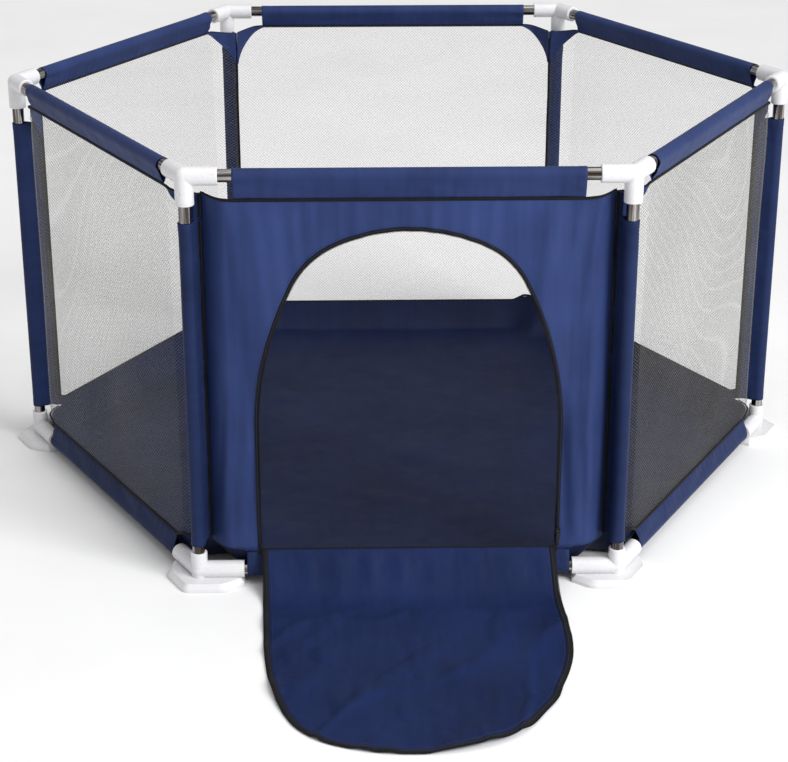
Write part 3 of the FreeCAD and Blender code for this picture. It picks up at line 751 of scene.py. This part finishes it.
def thread_lines(side, spacing, lift, slope):
    """Net threads one way across a panel, clipped to its outline."""
    lines = []
    z_mid = (LOW_SEAM + TOP_SEAM) / 2
    reach = JOIN + (TOP_SEAM - LOW_SEAM) / 2
    edge = JOIN - 0.0006
    for start in np.arange(-reach, reach, spacing * math.sqrt(2)):
        x = np.arange(-edge, edge, 0.001)
        z = z_mid + slope * (x - start)
        inside = (z > panel_low(x, side) + 0.0005) & (z < panel_high(x, side) - 0.0005)
        where = np.nonzero(inside)[0]
        if len(where) < 6:
            continue
        first, last = where[0], where[-1]
        count = max(3, int((last - first) / NET_STRETCH) + 1)
        pick = np.linspace(first, last, count).astype(int)
        x = x[pick]
        z = z[pick]
        lines.append(on_side(side, x, net_out(side, x, z) + lift, z))
    return lines


def net_panels():
    """The net walls: two sets of threads, laid over each other."""
    for side in SIDES[1:]:
        lines = (thread_lines(side, NET_SPACING, NET_THREAD * 0.7, 1)
                 + thread_lines(side, NET_SPACING, -NET_THREAD * 0.7, -1))
        points, faces = tube_along(lines, NET_THREAD, 4, side_normal(side))
        thing = new_object(f"net_wall_{side}", points, faces, None, NET)
        settle(thing, "root")
        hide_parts(f"net_panel_{side}")


# ---------------------------------------------------------------- bindings and stitches

def ribbon(name, line, across, normal, width, thick, crown):
    """A tape along a line of points, given its sideways and face directions."""
    shares = np.linspace(-0.5, 0.5, 5)
    rise = crown * (1 - (2 * shares) ** 2)
    points = (line[:, None] + across[:, None] * (shares * width)[None, :, None]
              + normal[:, None] * rise[None, :, None])
    uv = np.stack(np.meshgrid(reach_along(line), shares * width, indexing="ij"), -1)
    return settle(sheet_object(name, points, uv, TAPE, thick), "root")


def panel_out(side, x, z):
    """Where a wall of either kind lies, outwards from the rails' plane."""
    return door_out(x, z) if side == 1 else net_out(side, x, z)


def edge_bindings():
    """Black tape along the upper edge of every wall and the lower edge of the nets,
    notches included. The door wall has its sill's binding."""
    for side in SIDES:
        x = np.linspace(-(JOIN - 0.0015), JOIN - 0.0015, 240)
        width = 0.004
        for name, edge, lift in (("top_binding", panel_high(x, side), -1),
                                 ("low_binding", panel_low(x, side), 1)):
            if side == 1 and lift > 0:
                continue
            z = edge + lift * width * 0.35
            out = panel_out(side, x, z)
            line = on_side(side, x, out + 0.0009, z)
            normal = np.tile(side_normal(side), (len(x), 1))
            across = np.cross(normal, directions(line))
            ribbon(f"{name}_{side}", line, across, normal, width, 0.0012, 0.0009)


def post_bindings():
    """Black tape folded over the inner edge of each post's seam, and the seam's head, which
    carries on above the pocket to the connector."""
    head_top = TOP_SEAM - 0.003
    for corner in SIDES:
        z = np.linspace(POST_LOW, head_top, 90)
        profile = np.array([(0.0012, 0.008), (0.0013, 0.005), (0.0012, 0.001),
                            (0.0, -0.0008), (-0.0012, 0.001), (-0.0013, 0.005),
                            (-0.0012, 0.008)])
        grid_z = z[:, None] + 0 * profile[None, :, 0]
        wobble = 0.0004 * ripple(grid_z / 0.08, 0 * grid_z, 900 + corner)
        out = -(POST_TAIL - profile[None, :, 1]) + 0 * grid_z
        points = at_corner(corner, out, profile[None, :, 0] + wobble, grid_z)
        reach = np.arange(len(profile)) * 0.003
        uv = np.stack([grid_z, reach[None] + 0 * grid_z], -1)
        thing = sheet_object(f"post_binding_{corner}", points, uv, TAPE, 0.0006)
        settle(thing, "root")
        inward, z = np.meshgrid(np.linspace(POST_SEAM, POST_TAIL - 0.0005, 12),
                                np.linspace(POST_TOP - 0.004, head_top, 12), indexing="ij")
        sway = 0.0006 * ripple(inward / 0.03, z / 0.03, 950 + corner)
        # the seam head takes the darker copy of the navy cloth: painted shade
        thing = sheet_object(f"seam_head_{corner}", at_corner(corner, -inward, sway, z),
                             np.stack([inward, z], -1), NAVY_PAINTED_SHADE, 2 * CLOTH)
        settle(thing, "root")


def stitch_object(name, rows):
    """Stitches along several lines, each with its face direction."""
    all_points = []
    all_faces = []
    start = 0
    for line, normal in rows:
        centres, along = along_line(line, STITCH_STEP, 0.003)
        face = np.tile(normal, (len(centres), 1))
        points, faces = capsules(centres, along, face, STITCH_LENGTH, THREAD_THICK,
                                 THREAD_THICK)
        all_points.append(points)
        all_faces.append(faces + start)
        start += len(points)
    return new_object(name, np.concatenate(all_points), np.concatenate(all_faces), None,
                      THREAD)


def stitches():
    """Thread along the seams of every wall and the hems of its pockets."""
    for side in SIDES:
        normal = side_normal(side)
        rows = []
        x = np.linspace(-TOP_POCKET + 0.003, TOP_POCKET - 0.003, 120)
        rows.append((on_side(side, x, 0 * x + CLOTH * 1.6, 0 * x + top_seam(side) + 0.0042),
                     normal))
        x = np.linspace(-LOW_POCKET + 0.003, LOW_POCKET - 0.003, 120)
        rows.append((on_side(side, x, 0 * x + CLOTH * 1.6, 0 * x + LOW_SEAM - 0.0042), normal))
        if side == 1:
            for inset in (-0.0035, -0.0078):
                arch = arch_line(inset, SILL + 0.004)
                out = door_out(arch[:, 0], arch[:, 1]) + 0.0022
                rows.append((on_side(1, arch[:, 0], out, arch[:, 1]), normal))
        settle(stitch_object(f"stitches_{side}", rows), "root")


# ---------------------------------------------------------------- gussets and floor

def gussets():
    """Cloth pieces with a hollow edge, sewn inside the top corners of the net walls."""
    along = JOIN - TOP_POCKET + 0.012
    down = 0.060
    hollow = 0.62
    edge = JOIN - 0.0006
    v, u = np.meshgrid(np.linspace(0, 1, 20) ** 1.6, np.linspace(0, 1, 16), indexing="ij")
    for side in SIDES[1:]:
        for hand, word in ((-1, "left"), (1, "right")):
            width = along * np.clip(1 - v ** hollow, 0, 1) ** (1 / hollow) + 0.0012
            x = hand * (edge - u * width)
            z = panel_high(x, side) - 0.001 - v * down
            out = net_out(side, x, z) - 0.0016
            thing = sheet_object(f"gusset_{side}_{word}", on_side(side, x, out, z),
                                 np.stack([x, z], -1), NAVY)
            settle(thing, "root")
            if side == 2 and hand < 0:
                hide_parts("corner_gussets")


def floor_cloth():
    """The floor sheet: flat on the floor, its edge drawn up to the walls' lower seams."""
    rings = 1 - (1 - np.linspace(0, 1, 66)[1:]) ** 1.9
    edge = []
    rim = []
    share = np.linspace(-1, 1, 71)[:-1]
    angle = np.radians(30 * share * (1.25 - 0.25 * share ** 2))
    for side in SIDES:
        x = APOTHEM * np.tan(angle) * JOIN / (SIDE / 2)
        edge.append(on_side(side, x, turn_in(x) - 0.0026, 0 * x)[:, :2])
        rim.append(panel_low(x, side) + 0.0016)
    edge = np.concatenate(edge)
    rim = np.concatenate(rim)
    corner = smooth(1 - np.abs(np.abs(np.tile(x, len(SIDES))) - JOIN) / (JOIN - LOW_POCKET))
    for _ in range(3):
        corner = (np.roll(corner, 1) + 2 * corner + np.roll(corner, -1)) / 4
        rim = (np.roll(rim, 1) + 2 * rim + np.roll(rim, -1)) / 4
    reach = np.linalg.norm(edge, axis=1)
    from_edge = (1 - rings)[:, None] * reach[None]
    share = np.clip(1 - from_edge / (0.036 + 0.038 * corner)[None], 0, 1)
    height = 0.0016 + (rim[None] - 0.0016) * share ** 1.6
    x, y = np.moveaxis(edge[None] * rings[:, None, None], -1, 0)
    creases = 0.0035 * np.clip(ripple(x / 0.16, y / 0.16, 77) - 0.25, 0, 2) \
        + 0.0018 * np.clip(ripple(x / 0.06, y / 0.09, 78) - 0.3, 0, 2)
    height = height + creases * (1 - share) * smooth(from_edge / 0.05)
    count = len(edge)
    points = np.concatenate([np.stack([x, y, height], -1).reshape(-1, 3),
                             [[0, 0, height[0].mean()]]])
    faces = grid_faces(len(rings), count, closed=True).tolist()
    faces += [[len(points) - 1, (k + 1) % count, k] for k in range(count)]
    thing = sheet_object("floor_sheet", points, points[:, :2], NAVY_FLOOR, faces=faces)
    settle(thing, "root")
    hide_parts("floor_cloth")


# ---------------------------------------------------------------- the door's zip and flap

def door_zip():
    """Tape and coil round the opening."""
    arch = arch_line(-ZIP_WIDTH / 2, SILL)
    away = outward(arch)
    normal = np.tile(side_normal(1), (len(arch), 1))
    line = on_side(1, arch[:, 0], door_out(arch[:, 0], arch[:, 1]) + 0.0011, arch[:, 1])
    across = np.stack([away[:, 0], 0 * away[:, 0], away[:, 1]], -1)
    tape = ribbon("door_zip_tape", line, across, normal, ZIP_WIDTH, 0.0009, 0.0004)
    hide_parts("door_zip")
    edge = arch_line(0.0002, SILL + 0.004)
    line = on_side(1, edge[:, 0], door_out(edge[:, 0], edge[:, 1]) + 0.0012, edge[:, 1])
    settle(teeth("door_zip_coil", line, side_normal(1)), "root")
    x = np.linspace(-DOOR_HALF - 0.004, DOOR_HALF + 0.004, 120)
    z = 0 * x + (SILL + LOW_SEAM) / 2
    line = on_side(1, x, 0 * x + 0.0022, z)
    up = np.tile([0.0, 0.0, 1.0], (len(x), 1))
    ribbon("sill_binding", line, up, np.tile(side_normal(1), (len(x), 1)),
           SILL - LOW_SEAM + 0.003, 0.0012, 0.0006)


def teeth(name, line, normal):
    """The zip's coil: a row of small bars across the edge."""
    centres, along = along_line(line, COIL_STEP, 0.001)
    face = np.tile(normal, (len(centres), 1))
    across = np.cross(along, face)
    points, faces = capsules(centres, across, face, 0.0030, 0.0011, 0.0015)
    return new_object(name, points, faces, None, COIL)


def flap_place(x, v):
    """Where the flap's cloth lies: x across it and v down it from the sill. It slopes
    over the bottom rail, rounds into the floor and then lies on it."""
    share = np.linspace(0, 1, 300)
    slope = FLAP_SLOPE * (1 - smooth((share - 0.35) / 0.65))
    fall = np.cumsum(np.sin(slope)) / len(share)
    gain = np.cumsum(np.cos(slope)) / len(share)
    run = (HINGE[2] - FOLD[2]) / fall[-1]
    out = -HINGE[1] - APOTHEM + np.interp(v, share * run, gain * run) \
        + np.clip(v - run, 0, 1)
    z = HINGE[2] - np.interp(v, share * run, fall * run)
    lying = smooth((v - 0.09) / 0.06)
    lean = 0.8 * x + 0.6 * v
    folds = 0.007 * np.clip(ripple(lean / 0.09, (0.8 * v - 0.6 * x) / 0.3, 31) - 0.3, 0, 2)
    folds = folds + 0.004 * np.clip(ripple(x / 0.06, v / 0.075, 32) - 0.2, 0, 2)
    folds = folds + 0.0036 * np.exp(-(ripple(lean / 0.17, (0.8 * v - 0.6 * x) / 0.3, 34)
                                      / 0.12) ** 2)
    hang = (1 - lying) * 0.0028 * pucker(x, 0.052, 33) * smooth(v / 0.02)
    z = z + folds * lying
    out = out + hang
    shift = 0.009 * np.clip(v / 0.2, 0, 1) - 0.012 * smooth((v - 0.24) / 0.2)
    bulge = 0.005 * smooth((x - 0.07) / 0.07) * np.exp(-((v - 0.375) / 0.03) ** 2)
    return x + shift + bulge, out, z


def flap_outline(v):
    """Half the flap's width at a distance down from the sill."""
    arch = arch_line(FLAP_GAP, SILL, 0.001)
    right = arch[:len(arch) // 2 + 1]
    return np.interp(v + SILL, right[:, 1], right[:, 0])


def flap_points(x, v):
    """The flap's cloth in the shared frame."""
    x, out, z = flap_place(x, v)
    return on_side(1, x, out, z)


def on_flap(thing):
    """Bake a piece of the flap's transform into its mesh."""
    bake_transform(thing)
    return thing


def flap():
    """The door flap, its tape, its half of the zip and its stitches."""
    length = DOOR_TOP - FLAP_GAP - SILL
    rows = length * (1 - (1 - np.linspace(0, 1, 180)) ** 1.6)
    rows[-1] = length - 0.00002
    u = np.linspace(-1, 1, 140)
    half = flap_outline(rows)
    x = half[:, None] * u[None]
    v = rows[:, None] + 0 * x
    # the flap's inner face takes the darker copy of the navy cloth: painted shade
    cloth = sheet_object("flap_cloth", flap_points(x, v), np.stack([x, v], -1), NAVY,
                         back=NAVY_INNER_PAINTED_SHADE)
    on_flap(cloth)
    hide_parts("flap_strip", "door_flap")

    edge = arch_line(FLAP_GAP + FLAP_TAPE / 2, SILL)
    away = outward(edge)
    shares = np.linspace(-0.5, 0.5, 6)
    grid = edge[:, None] + away[:, None] * (shares * FLAP_TAPE)[None, :, None]
    lift = np.array([0, -0.25, 0.95]) * 0.0009
    uv = np.stack(np.meshgrid(np.arange(len(edge)) * ARCH_STEP, shares * FLAP_TAPE,
                              indexing="ij"), -1)
    tape = sheet_object("flap_zip_tape", flap_points(grid[..., 0], grid[..., 1] - SILL)
                        + lift, uv, TAPE, 0.0008)
    on_flap(tape)
    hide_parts("flap_zip")

    face = np.array([0, -0.2, 0.98])
    edge = arch_line(0.0005, SILL + 0.003, 0.003)
    line = flap_points(edge[:, 0], edge[:, 1] - SILL) + lift
    coil = on_flap(teeth("flap_zip_coil", line, face))
    seams = []
    for inset in (0.0045, 0.0115):
        edge = arch_line(FLAP_GAP + inset, SILL + 0.004)
        seams.append((flap_points(edge[:, 0], edge[:, 1] - SILL) + lift * 1.7, face))
    thread = on_flap(stitch_object("flap_stitches", seams))


# ---------------------------------------------------------------- studio

FLOOR_HALF = 20
FLOOR_DROP = 0.0004             # keeps the studio's floor just under the feet


def studio_floor():
    """A large flat square that the yard stands on."""
    corners = [(x * FLOOR_HALF, y * FLOOR_HALF, -FLOOR_DROP)
               for x, y in ((-1, -1), (1, -1), (1, 1), (-1, 1))]
    new_object("floor_plane", corners, [[0, 1, 2, 3]], None, paper_material())


def lamp(name, place, aim, size, power):
    """A soft square lamp that points at a place."""
    data = bpy.data.lights.new(name, "AREA")
    data.size = size
    data.energy = power
    thing = bpy.data.objects.new(name, data)
    bpy.context.scene.collection.objects.link(thing)
    way = np.array(aim, float) - np.array(place, float)
    thing.rotation_euler = Vector(way).to_track_quat("-Z", "Y").to_euler()
    thing.location = place


CAMERA_PLACE = (-0.0823, -3.2927, 1.4569)
CAMERA_DOWN = 22.35
CAMERA_RIGHT = 1.26
CAMERA_LENS = 91.6


def studio():
    """Pale floor, soft lamps and the camera."""
    scene = bpy.context.scene
    studio_floor()
    world = bpy.data.worlds.new("studio")
    scene.world = world
    world.use_nodes = True
    sky = world.node_tree.nodes["Background"]
    sky.inputs["Color"].default_value = (1, 1, 1, 1)
    sky.inputs["Strength"].default_value = 0.50
    lamp("key", (1.5, -1.8, 1.0), (0.1, -0.5, 0.4), 0.7, 16)
    lamp("top", (0.3, -0.6, 3.6), (0, 0, 0), 2.5, 26)
    sun = bpy.data.lights.new("sun", "SUN")
    sun.energy = 2.0
    sun.angle = math.radians(30)
    thing = bpy.data.objects.new("sun", sun)
    scene.collection.objects.link(thing)
    thing.rotation_euler = (math.radians(50), 0, math.radians(48))
    camera = bpy.data.cameras.new("camera")
    camera.lens = CAMERA_LENS
    camera.clip_end = 100
    thing = bpy.data.objects.new("camera", camera)
    scene.collection.objects.link(thing)
    thing.rotation_euler = (math.radians(90 - CAMERA_DOWN), 0, -math.radians(CAMERA_RIGHT))
    thing.location = CAMERA_PLACE
    scene.camera = thing
    scene.view_settings.view_transform = "Standard"


studio()
dress_frame()
rail_pockets()
post_pockets()
door_panel()
net_panels()
edge_bindings()
post_bindings()
stitches()
gussets()
floor_cloth()
door_zip()
flap()
